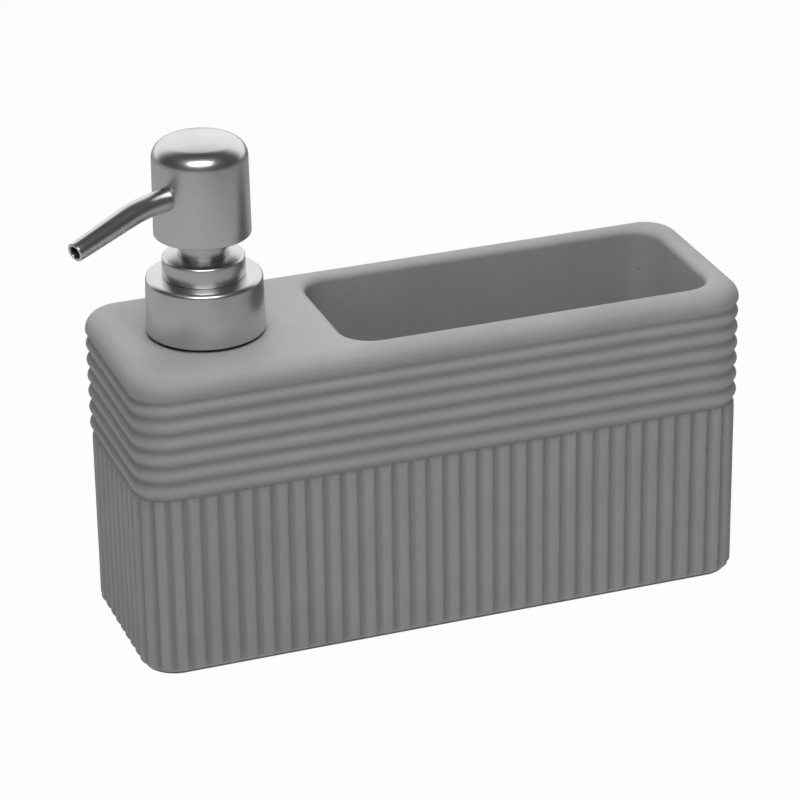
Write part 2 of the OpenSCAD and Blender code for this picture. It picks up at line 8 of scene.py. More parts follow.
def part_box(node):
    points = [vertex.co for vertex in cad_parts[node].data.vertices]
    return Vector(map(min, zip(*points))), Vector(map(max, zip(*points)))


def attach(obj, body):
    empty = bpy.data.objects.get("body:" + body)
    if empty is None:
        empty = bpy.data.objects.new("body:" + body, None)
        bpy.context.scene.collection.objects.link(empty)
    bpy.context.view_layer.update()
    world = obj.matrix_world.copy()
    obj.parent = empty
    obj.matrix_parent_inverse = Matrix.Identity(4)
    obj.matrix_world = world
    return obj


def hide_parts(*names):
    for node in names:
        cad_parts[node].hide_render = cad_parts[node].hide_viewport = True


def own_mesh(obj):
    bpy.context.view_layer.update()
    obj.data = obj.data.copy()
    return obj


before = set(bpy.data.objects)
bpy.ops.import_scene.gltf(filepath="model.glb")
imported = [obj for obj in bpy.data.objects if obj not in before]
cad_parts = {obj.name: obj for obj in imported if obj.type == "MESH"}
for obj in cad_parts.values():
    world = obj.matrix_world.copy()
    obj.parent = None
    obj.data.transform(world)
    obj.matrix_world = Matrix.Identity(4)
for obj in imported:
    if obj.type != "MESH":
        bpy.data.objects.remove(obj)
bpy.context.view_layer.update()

MM = 0.001
X, Y, Z = 0, 1, 2


def span(node, axis):
    """The least and the greatest place of a solid on an axis, in millimetres."""
    low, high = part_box(node)
    return round(low[axis] / MM, 2), round(high[axis] / MM, 2)


# Sizes of the ceramic body, in millimetres from the middle of its base, with the front at -Y
BODY_L = 2 * span("ceramic_body", X)[1]
BODY_W = 2 * span("ceramic_body", Y)[1]
FOOT_Z, DECK_Z = span("ceramic_body", Z)
CORNER_R, BASE_ROLL = 11.1, 1.2
RIB_PITCH, RIB_COUNT, RIB_DEPTH = 5.0, 6, 1.0
RIB_TOP = 85.3
RIB_BASE = RIB_TOP - RIB_COUNT * RIB_PITCH
FLUTE_PITCH, FLUTES_FRONT, FLUTES_SIDE = 5.16, 33, 13
FLUTE_INSET, FLUTE_DEPTH, FLUTE_SHIFT = 0.5, 1.2, 0.55
LIP_ROLL, LIP_SWELL = 5.0, 1.7

# Sizes of the well, the soap tank and the neck
WELL_X0, WELL_X1, WELL_HALF_W = -27.5, 84.0, 23.9
WELL_CORNER_R, WELL_ROLL, WELL_FLOOR_R, WELL_FLOOR_Z = 9.0, 2.5, 4.0, 7.0
TANK_X0, TANK_X1, TANK_HALF_W = -87.2, -32.5, 26.2
TANK_CORNER_R, TANK_ROLL, TANK_Z0, TANK_Z1 = 7.0, 6.0, 6.1, 86.0
PUMP_X = sum(span("lock_ring", X)) / 2
NECK_R, NECK_EDGE = 13.2, 0.7
PUMP_FOOT = Vector((PUMP_X * MM, 0.0, DECK_Z * MM))


# The camera, fitted to the edges of the body and of the pump

CAMERA_PLACE = (-0.32608, -0.89645, 0.50669)
CAMERA_RIGHT = (0.93923, -0.34305, -0.01275)
CAMERA_FORWARD = (0.30548, 0.85215, -0.42487)
FILM_WIDTH, LENS_LENGTH = 36.0, 162.77
NEAREST, FARTHEST = 0.05, 20.0


def place_camera():
    """Stands where the photograph was taken from, with a long lens a metre away."""
    right = Vector(CAMERA_RIGHT).normalized()
    forward = Vector(CAMERA_FORWARD)
    forward = (forward - right * forward.dot(right)).normalized()
    up = right.cross(forward)
    data = bpy.data.cameras.new("camera")
    data.sensor_width = FILM_WIDTH
    data.lens = LENS_LENGTH
    data.clip_start = NEAREST
    data.clip_end = FARTHEST
    camera = bpy.data.objects.new("camera", data)
    turn = Matrix((right, up, -forward)).transposed().to_4x4()
    camera.matrix_world = Matrix.Translation(Vector(CAMERA_PLACE)) @ turn
    bpy.context.scene.collection.objects.link(camera)
    bpy.context.scene.camera = camera


place_camera()


# Short ways to build node trees

NUMBER, VECTOR, COLOUR = "NodeSocketFloat", "NodeSocketVector", "NodeSocketColor"
GEOMETRY, MATERIAL = "NodeSocketGeometry", "NodeSocketMaterial"


def new_tree(name, kind, inputs, outputs):
    """A node group with named inputs and outputs, each given with the kind of its socket."""
    tree = bpy.data.node_groups.new(name, kind)
    for label, socket in inputs.items():
        tree.interface.new_socket(label, in_out="INPUT", socket_type=socket)
    for label, socket in outputs.items():
        tree.interface.new_socket(label, in_out="OUTPUT", socket_type=socket)
    return tree, tree.nodes.new("NodeGroupInput"), tree.nodes.new("NodeGroupOutput")


def feed(tree, socket, value):
    """Links a socket to another node's output, or sets it to a plain value."""
    if isinstance(value, bpy.types.NodeSocket):
        tree.links.new(value, socket)
    else:
        socket.default_value = value


def calc(tree, operation, *values, clamp=False):
    """One step of arithmetic on outputs or plain numbers."""
    node = tree.nodes.new("ShaderNodeMath")
    node.operation = operation
    node.use_clamp = clamp
    for socket, value in zip(node.inputs, values):
        feed(tree, socket, value)
    return node.outputs[0]


def vector_calc(tree, operation, *values, output="Vector"):
    """One step of arithmetic on vectors, which gives a vector, or a number where "Value" is asked for."""
    node = tree.nodes.new("ShaderNodeVectorMath")
    node.operation = operation
    for socket, value in zip(node.inputs, values):
        feed(tree, socket, value)
    return node.outputs[output]


def between(tree, share, first, second):
    """Goes from the first value to the second as the share goes from 0 to 1."""
    kept = calc(tree, "MULTIPLY", calc(tree, "SUBTRACT", 1.0, share), first)
    return calc(tree, "ADD", calc(tree, "MULTIPLY", share, second), kept)


def fade(tree, value, low, high, from_value=0.0, to_value=1.0, smooth=True):
    """Goes from one value to another as the input goes from low to high."""
    node = tree.nodes.new("ShaderNodeMapRange")
    node.interpolation_type = "SMOOTHSTEP" if smooth else "LINEAR"
    for label, number in (("Value", value), ("From Min", low), ("From Max", high),
                          ("To Min", from_value), ("To Max", to_value)):
        feed(tree, node.inputs[label], number)
    return node.outputs["Result"]


def noise(tree, vector, scale, detail=2.0, roughness=0.5, seed=0.0):
    """Soft random values over space, from 0 to 1."""
    node = tree.nodes.new("ShaderNodeTexNoise")
    node.noise_dimensions = "4D"
    feed(tree, node.inputs["Vector"], vector)
    settings = (("W", seed), ("Scale", scale), ("Detail", detail), ("Roughness", roughness))
    for label, number in settings:
        feed(tree, node.inputs[label], number)
    return node.outputs["Fac"]


def blend_colours(tree, factor, first, second):
    """Mixes two colours, whose sockets follow those for numbers and vectors on the node."""
    node = tree.nodes.new("ShaderNodeMix")
    node.data_type = "RGBA"
    feed(tree, node.inputs[0], factor)
    feed(tree, node.inputs[6], first)
    feed(tree, node.inputs[7], second)
    return node.outputs[2]


def axis_part(tree, vector, axis):
    """One of the three parts of a vector."""
    split = tree.nodes.new("ShaderNodeSeparateXYZ")
    tree.links.new(vector, split.inputs[0])
    return split.outputs[axis]


# Surface effects that the materials share

CLOUD_FADE, SPECKLE_FADE, GRAIN_FADE = (0.3, 0.7), (0.35, 0.65), (0.3, 0.7)
GRAIN_PART, WAVE_PART, WAVE_RELIEF = 0.4, 0.6, 2.0


def make_mottle():
    """Soft cloudy patches between two colours, with a fine speckle in them."""
    tree, given, out = new_tree(
        "Cloudy mottle", "ShaderNodeTree",
        {"Position": VECTOR, "Dark": COLOUR, "Light": COLOUR, "Cloud scale": NUMBER,
         "Speckle scale": NUMBER, "Speckle share": NUMBER, "Seed": NUMBER},
        {"Colour": COLOUR})
    g = given.outputs
    patches = noise(tree, g["Position"], g["Cloud scale"], detail=3.0, roughness=0.55, seed=g["Seed"])
    cloud = fade(tree, patches, *CLOUD_FADE)
    specks = noise(tree, g["Position"], g["Speckle scale"], detail=2.0, roughness=0.6, seed=g["Seed"])
    speckle = fade(tree, specks, *SPECKLE_FADE)
    mixed = between(tree, g["Speckle share"], cloud, speckle)
    tree.links.new(blend_colours(tree, mixed, g["Dark"], g["Light"]), out.inputs["Colour"])
    return tree


def make_grain():
    """A fine even grain for roughness and relief, as moulded or coated plastic has."""
    tree, given, out = new_tree(
        "Fine grain", "ShaderNodeTree",
        {"Position": VECTOR, "Grain scale": NUMBER, "Wave scale": NUMBER, "Low": NUMBER,
         "High": NUMBER, "Seed": NUMBER},
        {"Roughness": NUMBER, "Height": NUMBER})
    g = given.outputs
    grain = noise(tree, g["Position"], g["Grain scale"], detail=1.0, seed=g["Seed"])
    wave = noise(tree, g["Position"], g["Wave scale"], seed=g["Seed"])
    both = calc(tree, "ADD", calc(tree, "MULTIPLY", grain, GRAIN_PART),
                calc(tree, "MULTIPLY", wave, WAVE_PART))
    roughness = fade(tree, both, *GRAIN_FADE, g["Low"], g["High"])
    tree.links.new(roughness, out.inputs["Roughness"])
    height = calc(tree, "ADD", grain, calc(tree, "MULTIPLY", wave, WAVE_RELIEF))
    tree.links.new(height, out.inputs["Height"])
    return tree


def make_pits():
    """Sparse pinholes, as a glaze or a foam has."""
    tree, given, out = new_tree(
        "Pinholes", "ShaderNodeTree",
        {"Position": VECTOR, "Cells": NUMBER, "Size": NUMBER, "Share": NUMBER},
        {"Pit": NUMBER})
    g = given.outputs
    cells = tree.nodes.new("ShaderNodeTexVoronoi")
    tree.links.new(g["Position"], cells.inputs["Vector"])
    tree.links.new(g["Cells"], cells.inputs["Scale"])
    chosen = tree.nodes.new("ShaderNodeSeparateColor")
    tree.links.new(cells.outputs["Color"], chosen.inputs["Color"])
    near = fade(tree, cells.outputs["Distance"], 0.0, g["Size"], 1.0, 0.0)
    held = calc(tree, "LESS_THAN", chosen.outputs[0], g["Share"])
    tree.links.new(calc(tree, "MULTIPLY", near, held), out.inputs["Pit"])
    return tree


MOTTLE = make_mottle()
GRAIN = make_grain()
PINHOLES = make_pits()


# Materials

def use_group(tree, group, **values):
    """Places a shared effect in a material, with this material's own values."""
    node = tree.nodes.new("ShaderNodeGroup")
    node.node_tree = group
    for label, value in values.items():
        feed(tree, node.inputs[label.replace("_", " ")], value)
    return node.outputs


def start_material(name, metallic=0.0, roughness=0.5, ior=1.5):
    """A material with its shader, and the point of the surface in the piece's own coordinates."""
    material = bpy.data.materials.new(name)
    material.use_nodes = True
    tree = material.node_tree
    shader = tree.nodes["Principled BSDF"]
    shader.inputs["Metallic"].default_value = metallic
    shader.inputs["Roughness"].default_value = roughness
    shader.inputs["IOR"].default_value = ior
    place = tree.nodes.new("ShaderNodeTexCoord").outputs["Object"]
    return material, tree, shader, place


def mottled(tree, place, **values):
    """The colour of a cloudy surface."""
    return use_group(tree, MOTTLE, Position=place, **values)["Colour"]


def grained(tree, shader, place, **values):
    """Gives a shader the roughness of a fine grain, and returns the height of that grain."""
    grain = use_group(tree, GRAIN, Position=place, **values)
    tree.links.new(grain["Roughness"], shader.inputs["Roughness"])
    return grain["Height"]


def emboss(tree, shader, height, depth, strength):
    """Raises the surface by a height, in metres of depth."""
    node = tree.nodes.new("ShaderNodeBump")
    node.inputs["Strength"].default_value = strength
    node.inputs["Distance"].default_value = depth
    tree.links.new(height, node.inputs["Height"])
    tree.links.new(node.outputs["Normal"], shader.inputs["Normal"])


def grey(level):
    return (level, level, level, 1.0)


# Painted shade in the grooves and the pinholes, and painted light on the rib crests and the foot
PAINTED_SHADE_IN_GROOVES, PAINTED_LIGHT_ON_CRESTS, PAINTED_SHADE_IN_PITS = 0.32, 0.52, 0.06
PIT_RELIEF = 4.0


def glaze_material():
    """Satin matt grey glaze on cast clay: cloudy, with few pinholes, painted shade in the grooves and the
    pinholes, and painted light on the rib crests and the plain foot.
    """
    material, tree, shader, place = start_material("satin_grey_glaze")
    colour = mottled(tree, place, Dark=(0.4, 0.4, 0.398, 1.0), Light=(0.455, 0.455, 0.453, 1.0),
                     Cloud_scale=38.0, Speckle_scale=700.0, Speckle_share=0.3, Seed=3.0)
    pits = use_group(tree, PINHOLES, Position=place, Cells=75.0, Size=0.045, Share=0.05)["Pit"]
    # Painted shade and light stored on the body: above 0 darkens towards the groove grey, below 0 lightens
    # towards the crest grey
    painted_shade_and_light = tree.nodes.new("ShaderNodeAttribute")
    painted_shade_and_light.attribute_name = "painted_shade_and_light"
    colour = blend_colours(tree, painted_shade_and_light.outputs["Fac"], colour, grey(PAINTED_SHADE_IN_GROOVES))
    crest = calc(tree, "MULTIPLY", painted_shade_and_light.outputs["Fac"], -1.0, clamp=True)
    colour = blend_colours(tree, crest, colour, grey(PAINTED_LIGHT_ON_CRESTS))
    # Painted shade in the pinholes
    colour = blend_colours(tree, pits, colour, grey(PAINTED_SHADE_IN_PITS))
    tree.links.new(colour, shader.inputs["Base Color"])
    shader.inputs["Specular IOR Level"].default_value = 0.35
    height = grained(tree, shader, place, Grain_scale=650.0, Wave_scale=45.0, Low=0.5, High=0.62, Seed=5.0)
    height = calc(tree, "SUBTRACT", height, calc(tree, "MULTIPLY", pits, PIT_RELIEF))
    emboss(tree, shader, height, depth=0.00006, strength=0.6)
    return material


def silver_material():
    """Satin silver coat: metallised plastic under a clear lacquer."""
    material, tree, shader, place = start_material("pearl_silver_coat", metallic=1.0)
    colour = mottled(tree, place, Dark=(0.55, 0.55, 0.553, 1.0), Light=(0.61, 0.61, 0.61, 1.0),
                     Cloud_scale=90.0, Speckle_scale=3500.0, Speckle_share=0.5, Seed=1.0)
    tree.links.new(colour, shader.inputs["Base Color"])
    height = grained(tree, shader, place, Grain_scale=3800.0, Wave_scale=70.0, Low=0.27, High=0.33, Seed=2.0)
    emboss(tree, shader, height, depth=0.000002, strength=0.2)
    return material


def moulded_material():
    """Natural white plastic, as the working parts of the pump are moulded."""
    material, tree, shader, place = start_material("moulded_white", ior=1.49)
    colour = mottled(tree, place, Dark=(0.70, 0.70, 0.68, 1.0), Light=(0.78, 0.78, 0.765, 1.0),
                     Cloud_scale=110.0, Speckle_scale=1500.0, Speckle_share=0.25, Seed=7.0)
    tree.links.new(colour, shader.inputs["Base Color"])
    shader.inputs["Subsurface Weight"].default_value = 0.15
    shader.inputs["Subsurface Radius"].default_value = (0.0015, 0.0015, 0.0013)
    height = grained(tree, shader, place, Grain_scale=1800.0, Wave_scale=90.0, Low=0.33, High=0.45, Seed=8.0)
    emboss(tree, shader, height, depth=0.00001, strength=0.4)
    return material


def seal_material():
    """Soft dark rubber of the plug and the seals."""
    material, tree, shader, place = start_material("soft_dark_seal", ior=1.45)
    colour = mottled(tree, place, Dark=(0.018, 0.018, 0.019, 1.0), Light=(0.034, 0.034, 0.035, 1.0),
                     Cloud_scale=120.0, Speckle_scale=2500.0, Speckle_share=0.5, Seed=11.0)
    tree.links.new(colour, shader.inputs["Base Color"])
    height = grained(tree, shader, place, Grain_scale=2400.0, Wave_scale=110.0, Low=0.55, High=0.7,
                     Seed=12.0)
    emboss(tree, shader, height, depth=0.00002, strength=0.5)
    return material


def steel_material():
    """Bright drawn wire and polished steel."""
    material, tree, shader, place = start_material("bright_steel", metallic=1.0)
    colour = mottled(tree, place, Dark=(0.5, 0.5, 0.5, 1.0), Light=(0.62, 0.62, 0.61, 1.0),
                     Cloud_scale=400.0, Speckle_scale=4000.0, Speckle_share=0.4, Seed=17.0)
    tree.links.new(colour, shader.inputs["Base Color"])
    height = grained(tree, shader, place, Grain_scale=4000.0, Wave_scale=200.0, Low=0.16, High=0.26,
                     Seed=18.0)
    emboss(tree, shader, height, depth=0.000003, strength=0.3)
    return material


# Painted shade in the open cells of the foam
OPEN_CELL_SHADE_COLOUR, OPEN_CELL_SHADE_SHARE = 0.012, 0.6


def foam_material():
    """Fine closed-cell foam of the base pad, with the cells of its cut face open and painted shade in them.
    """
    material, tree, shader, place = start_material("closed_cell_foam", ior=1.4)
    colour = mottled(tree, place, Dark=(0.03, 0.03, 0.031, 1.0), Light=(0.055, 0.055, 0.056, 1.0),
                     Cloud_scale=60.0, Speckle_scale=1800.0, Speckle_share=0.7, Seed=21.0)
    cells = use_group(tree, PINHOLES, Position=place, Cells=1400.0, Size=0.5, Share=0.8)["Pit"]
    cell_shade = calc(tree, "MULTIPLY", cells, OPEN_CELL_SHADE_SHARE)
    colour = blend_colours(tree, cell_shade, colour, grey(OPEN_CELL_SHADE_COLOUR))
    tree.links.new(colour, shader.inputs["Base Color"])
    grained(tree, shader, place, Grain_scale=1500.0, Wave_scale=80.0, Low=0.8, High=0.95, Seed=22.0)
    emboss(tree, shader, calc(tree, "MULTIPLY", cells, -1.0), depth=0.00015, strength=0.6)
    return material


GLAZE = glaze_material()
SILVER = silver_material()
MOULDED = moulded_material()
SEAL = seal_material()
STEEL = steel_material()
FOAM = foam_material()


# Short ways to build and finish meshes

MERGE_DISTANCE = 1e-7
LEAST_CORNER_R = 0.4


def link_object(name, mesh):
    piece = bpy.data.objects.new(name, mesh)
    bpy.context.scene.collection.objects.link(piece)
    return piece


def link_work(name, work):
    """Ends the work on a mesh and links it to the scene as a piece."""
    mesh = bpy.data.meshes.new(name)
    work.to_mesh(mesh)
    work.free()
    return link_object(name, mesh)


def finish_mesh(piece, sharp_degrees=35.0):
    """Points the faces outwards and shades them smooth, but for edges sharper than the angle."""
    work = bmesh.new()
    work.from_mesh(piece.data)
    bmesh.ops.remove_doubles(work, verts=work.verts, dist=MERGE_DISTANCE)
    bmesh.ops.recalc_face_normals(work, faces=work.faces)
    work.to_mesh(piece.data)
    work.free()
    for polygon in piece.data.polygons:
        polygon.use_smooth = True
    piece.data.set_sharp_from_angle(angle=math.radians(sharp_degrees))


def dress(piece, material, body, nodes):
    """Gives a finished piece its material and body, and hides the solids that it stands for."""
    piece.data.materials.clear()
    piece.data.materials.append(material)
    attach(piece, body)
    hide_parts(*nodes)


def set_inputs(modifier, tree, values):
    """Sets a geometry tree's inputs by the identifiers of their sockets."""
    for item in tree.interface.items_tree:
        if item.item_type == "SOCKET" and item.in_out == "INPUT" and item.name in values:
            modifier[item.identifier] = values[item.name]


def run_tree(piece, tree, values):
    """Runs a geometry tree on a piece, and leaves the result as a plain mesh."""
    modifier = piece.modifiers.new("shape", "NODES")
    modifier.node_group = tree
    set_inputs(modifier, tree, values)
    graph = bpy.context.evaluated_depsgraph_get()
    mesh = bpy.data.meshes.new_from_object(piece.evaluated_get(graph))
    mesh.name = piece.name
    piece.modifiers.clear()
    piece.data = mesh


def finish_tree(tree, geometry, finish, target):
    """Ends a geometry tree: whole pieces, with their material."""
    real = tree.nodes.new("GeometryNodeRealizeInstances")
    coat = tree.nodes.new("GeometryNodeSetMaterial")
    tree.links.new(geometry, real.inputs[0])
    tree.links.new(real.outputs[0], coat.inputs["Geometry"])
    tree.links.new(finish, coat.inputs["Material"])
    tree.links.new(coat.outputs[0], target)


def quarter_turn(steps):
    """Sines and cosines of even steps through a right angle, for a rounded edge."""
    angles = [math.radians(90 * k / steps) for k in range(steps + 1)]
    return [(math.sin(angle), math.cos(angle)) for angle in angles]


def rounded(section, radii, steps=5):
    """A closed outline with its corners rounded: one radius a corner, 0 where it stays sharp."""
    points = []
    count = len(section)
    for i, (x, z) in enumerate(section):
        radius = radii[i]
        if radius <= 0:
            points.append((x, z))
            continue
        corner = Vector((x, z))
        before = (Vector(section[i - 1]) - corner).normalized()
        after = (Vector(section[(i + 1) % count]) - corner).normalized()
        half = before.angle(after) / 2
        reach = radius / math.tan(half)
        centre = corner + (before + after).normalized() * (radius / math.sin(half))
        first, last = corner + before * reach - centre, corner + after * reach - centre
        sweep = math.atan2(first.x * last.y - first.y * last.x, first.dot(last))
        for k in range(steps + 1):
            angle = sweep * k / steps
            points.append((centre.x + first.x * math.cos(angle) - first.y * math.sin(angle),
                           centre.y + first.x * math.sin(angle) + first.y * math.cos(angle)))
    return points


def level_ring(work, x0, x1, half_w, radius, inset, z, corner_steps=12):
    """Vertices round a rounded rectangle drawn in by an inset."""
    r = max(radius - inset, LEAST_CORNER_R)
    cx, hl, hw = (x0 + x1) / 2, (x1 - x0) / 2 - inset, half_w - inset
    ring = []
    for corner, (sx, sy) in enumerate(((1, 1), (-1, 1), (-1, -1), (1, -1))):
        for k in range(corner_steps + 1):
            angle = math.radians(90 * corner + 90 * k / corner_steps)
            ring.append(work.verts.new(((cx + sx * (hl - r) + r * math.cos(angle)) * MM,
                                        (sy * (hw - r) + r * math.sin(angle)) * MM, z * MM)))
    return ring


def circle_ring(work, x, radius, z, count=112):
    """Vertices round a level circle."""
    return [work.verts.new(((x + radius * math.cos(2 * math.pi * k / count)) * MM,
                            radius * math.sin(2 * math.pi * k / count) * MM, z * MM)) for k in range(count)]


def bridge(work, rings):
    """Joins each ring of vertices to the next with faces."""
    for low, high in zip(rings, rings[1:]):
        count = len(low)
        for k in range(count):
            after = (k + 1) % count
            work.faces.new((low[k], low[after], high[after], high[k]))


def fill_between(work, *loops):
    """Closes the level face that the outer loop bounds, with the other loops as holes in it."""
    edges = []
    for loop in loops:
        for k, vert in enumerate(loop):
            after = loop[(k + 1) % len(loop)]
            edges.append(work.edges.get((vert, after)) or work.edges.new((vert, after)))
    bmesh.ops.triangle_fill(work, use_beauty=True, edges=edges)


# The ceramic body

# Where points lie across each flute, as shares of its width, and up its height
FLUTE_MARKS = (0.0, 0.07, 0.14, 0.22, 0.32, 0.44, 0.56, 0.68, 0.78, 0.86, 0.93)
FLUTE_LEVELS = (2.1, 2.5, 3.0, 3.6, 4.5, 8, 14, 20, 26, 32, 38, 44, 50)
DEPTHS_BELOW_RIBS = (3.0, 1.6, 1.0, 0.5, 0.2, 0.05)
BASE_STEPS, RIB_STEPS, SWELL_STEPS, LIP_STEPS = 5, 8, 6, 9
WELL_ROLL_STEPS, WELL_FLOOR_STEPS, TANK_STEPS, NECK_STEPS = 8, 6, 5, 3


def wall_walk(length, width, radius):
    """A quarter of the way round a rounded rectangle, and what finds the point and way out at a run."""
    half_front, half_side = length / 2 - radius, width / 2 - radius
    arc = radius * math.pi / 2
    quarter = half_front + arc + half_side
    # Each stretch has its reach, the first angle of a corner, its start or centre, and a side's way
    stretches = [
        (half_front, None, (0, -width / 2), (1, 0)),
        (arc, -90, (half_front, -half_side), None),
        (2 * half_side, None, (length / 2, -half_side), (0, 1)),
        (arc, 0, (half_front, half_side), None),
        (2 * half_front, None, (half_front, width / 2), (-1, 0)),
        (arc, 90, (-half_front, half_side), None),
        (2 * half_side, None, (-length / 2, half_side), (0, -1)),
        (arc, 180, (-half_front, -half_side), None),
        (half_front, None, (-half_front, -width / 2), (1, 0))]

    def at(run):
        run %= 4 * quarter
        for reach, first_angle, start, way in stretches[:-1]:
            if run <= reach:
                break
            run -= reach
        else:
            reach, first_angle, start, way = stretches[-1]
        if way is None:
            angle = math.radians(first_angle) + run / radius
            out = Vector((math.cos(angle), math.sin(angle)))
            return Vector(start) + out * radius, out
        return Vector(start) + Vector(way) * run, Vector((way[1], -way[0]))

    return quarter, at


def skin_columns():
    """Points round the fluted wall, with the way out of it and the flute each lies on."""
    quarter, at = wall_walk(BODY_L - 2 * FLUTE_INSET, BODY_W - 2 * FLUTE_INSET, CORNER_R - FLUTE_INSET)
    side_pitch = (quarter - FLUTES_FRONT * FLUTE_PITCH / 2) * 2 / FLUTES_SIDE
    half = (FLUTES_FRONT + 1) // 2
    widths = ([FLUTE_PITCH] * half + [side_pitch] * FLUTES_SIDE + [FLUTE_PITCH] * FLUTES_FRONT
              + [side_pitch] * FLUTES_SIDE + [FLUTE_PITCH] * (FLUTES_FRONT - half))
    columns = []
    run = FLUTE_SHIFT - FLUTE_PITCH / 2
    for flute, wide in enumerate(widths):
        for mark in FLUTE_MARKS:
            point, out = at(run + mark * wide)
            columns.append((point, out, flute + mark))
        run += wide
    return columns


def skin_rows():
    """Inset and height of each level of the outer skin, and whether ribs or flutes are cut there."""
    rows = [(BASE_ROLL * (1 - s), FOOT_Z + BASE_ROLL * (1 - c), 1.0) for s, c in quarter_turn(BASE_STEPS)]
    rows += [(0.0, z, 1.0) for z in FLUTE_LEVELS]
    rows += [(0.0, RIB_BASE - below, 1.0) for below in DEPTHS_BELOW_RIBS]
    rows += [(0.0, RIB_BASE + RIB_PITCH * k / RIB_STEPS, 1.0) for k in range(RIB_COUNT * RIB_STEPS)]
    for k in range(SWELL_STEPS + 1):
        share = k / SWELL_STEPS
        inset = RIB_DEPTH * (0.5 + 0.5 * math.cos(math.pi * share))
        rows.append((inset, RIB_TOP + LIP_SWELL * share, 0.0))
    for s, c in quarter_turn(LIP_STEPS)[1:]:
        rows.append((LIP_ROLL * (1 - c), DECK_Z - LIP_ROLL * (1 - s), 0.0))
    return rows


def outer_skin(work):
    """Rings of the body's outside from the foot to the deck, and the marks of each of their points."""
    columns = skin_columns()
    levels = []
    marks = []
    for inset, z, cut in skin_rows():
        ring = []
        for point, out, flute in columns:
            here = point + out * (FLUTE_INSET - inset)
            ring.append(work.verts.new((here.x * MM, here.y * MM, z * MM)))
            marks.append((flute, cut, out))
        levels.append(ring)
    bridge(work, levels)
    work.faces.new(levels[0])
    return levels[-1], marks


def pocket(work, x0, x1, half_w, radius, levels):
    """A rounded pocket with its floor closed. Its open edge is returned."""
    rings = [level_ring(work, x0, x1, half_w, radius, inset, z) for inset, z in levels]
    bridge(work, rings)
    work.faces.new(rings[-1])
    return rings[0]


def well(work):
    """The open sponge well, with a rolled edge at the deck."""
    levels = [(-WELL_ROLL * (1 - s), DECK_Z - WELL_ROLL * (1 - c))
              for s, c in quarter_turn(WELL_ROLL_STEPS)]
    levels += [(WELL_FLOOR_R * (1 - c), WELL_FLOOR_Z + WELL_FLOOR_R * (1 - s))
               for s, c in quarter_turn(WELL_FLOOR_STEPS)]
    return pocket(work, WELL_X0, WELL_X1, WELL_HALF_W, WELL_CORNER_R, levels)


def tank(work):
    """The soap tank under the deck, rounded at its roof and its floor."""
    edge = quarter_turn(TANK_STEPS)
    levels = [(TANK_ROLL * (1 - s), TANK_Z1 - TANK_ROLL * (1 - c)) for s, c in edge]
    levels += [(TANK_ROLL * (1 - c), TANK_Z0 + TANK_ROLL * (1 - s)) for s, c in edge]
    return pocket(work, TANK_X0, TANK_X1, TANK_HALF_W, TANK_CORNER_R, levels)


def neck(work):
    """The hole in the deck that the plug grips, with a rounded edge. Both its ends are returned."""
    rings = [circle_ring(work, PUMP_X, NECK_R + NECK_EDGE * (1 - s), DECK_Z - NECK_EDGE * (1 - c))
             for s, c in quarter_turn(NECK_STEPS)]
    rings.append(circle_ring(work, PUMP_X, NECK_R, TANK_Z1))
    bridge(work, rings)
    return rings[0], rings[-1]


def store_marks(mesh, marks):
    """Keeps the flute, the cut and the way out of each point of the skin, with 0 elsewhere."""
    rest = [0.0] * (len(mesh.vertices) - len(marks))
    flutes = mesh.attributes.new("flute", "FLOAT", "POINT")
    flutes.data.foreach_set("value", [flute for flute, _, _ in marks] + rest)
    cuts = mesh.attributes.new("cut", "FLOAT", "POINT")
    cuts.data.foreach_set("value", [cut for _, cut, _ in marks] + rest)
    outs = mesh.attributes.new("outward", "FLOAT_VECTOR", "POINT")
    outs.data.foreach_set("vector", [c for _, _, out in marks for c in (out.x, out.y, 0.0)] + 3 * rest)


def ceramic_blank():
    """The body before its ribs and flutes are cut: skin, well, neck and tank in one closed surface."""
    work = bmesh.new()
    lip, marks = outer_skin(work)
    well_edge = well(work)
    neck_edge, neck_foot = neck(work)
    tank_edge = tank(work)
    fill_between(work, lip, well_edge, neck_edge)
    fill_between(work, tank_edge, neck_foot)
    bmesh.ops.recalc_face_normals(work, faces=work.faces)
    piece = link_work("ceramic_body", work)
    store_marks(piece.data, marks)
    return piece


# Shape of the flutes: where each groove starts across it, and how its two ends run out
GROOVE_FROM = 0.36
FLUTE_FOOT, FOOT_FADE, FOOT_SHARE = 0.5, 1.6, 0.5
FLUTE_HEAD, HEAD_SHARE = 2.4, 0.6
UNEVENNESS, UNEVEN_SCALE = 0.3, 60.0
RIB_EDGE_TOLERANCE = 0.01
BODY_SHARP_DEGREES = 62.0

# How strongly shade is painted between the ribs, and light painted on their crests and on the plain foot
RIB_PAINTED_SHADE, RIB_PAINTED_LIGHT, FOOT_PAINTED_LIGHT = 1.3, 0.4, 1.2


def named_attribute(tree, name, kind):
    node = tree.nodes.new("GeometryNodeInputNamedAttribute")
    node.data_type = kind
    node.inputs["Name"].default_value = name
    return node.outputs["Attribute"]


def across_wave(tree, run):
    """From -1 at one edge of each rib or flute, through 0 in its middle, to 1 at the other edge."""
    return calc(tree, "SUBTRACT", calc(tree, "MULTIPLY", calc(tree, "FRACT", run), 2.0), 1.0)


def rib_hollows(tree, g, z):
    """How deep between the ribs a height lies: 0 on a crest, 1 in a groove."""
    rib = calc(tree, "DIVIDE", calc(tree, "SUBTRACT", g["Rib top"], z), g["Rib pitch"])
    wave = calc(tree, "COSINE", calc(tree, "MULTIPLY", across_wave(tree, rib), math.pi))
    return calc(tree, "SUBTRACT", 0.5, calc(tree, "MULTIPLY", wave, 0.5))


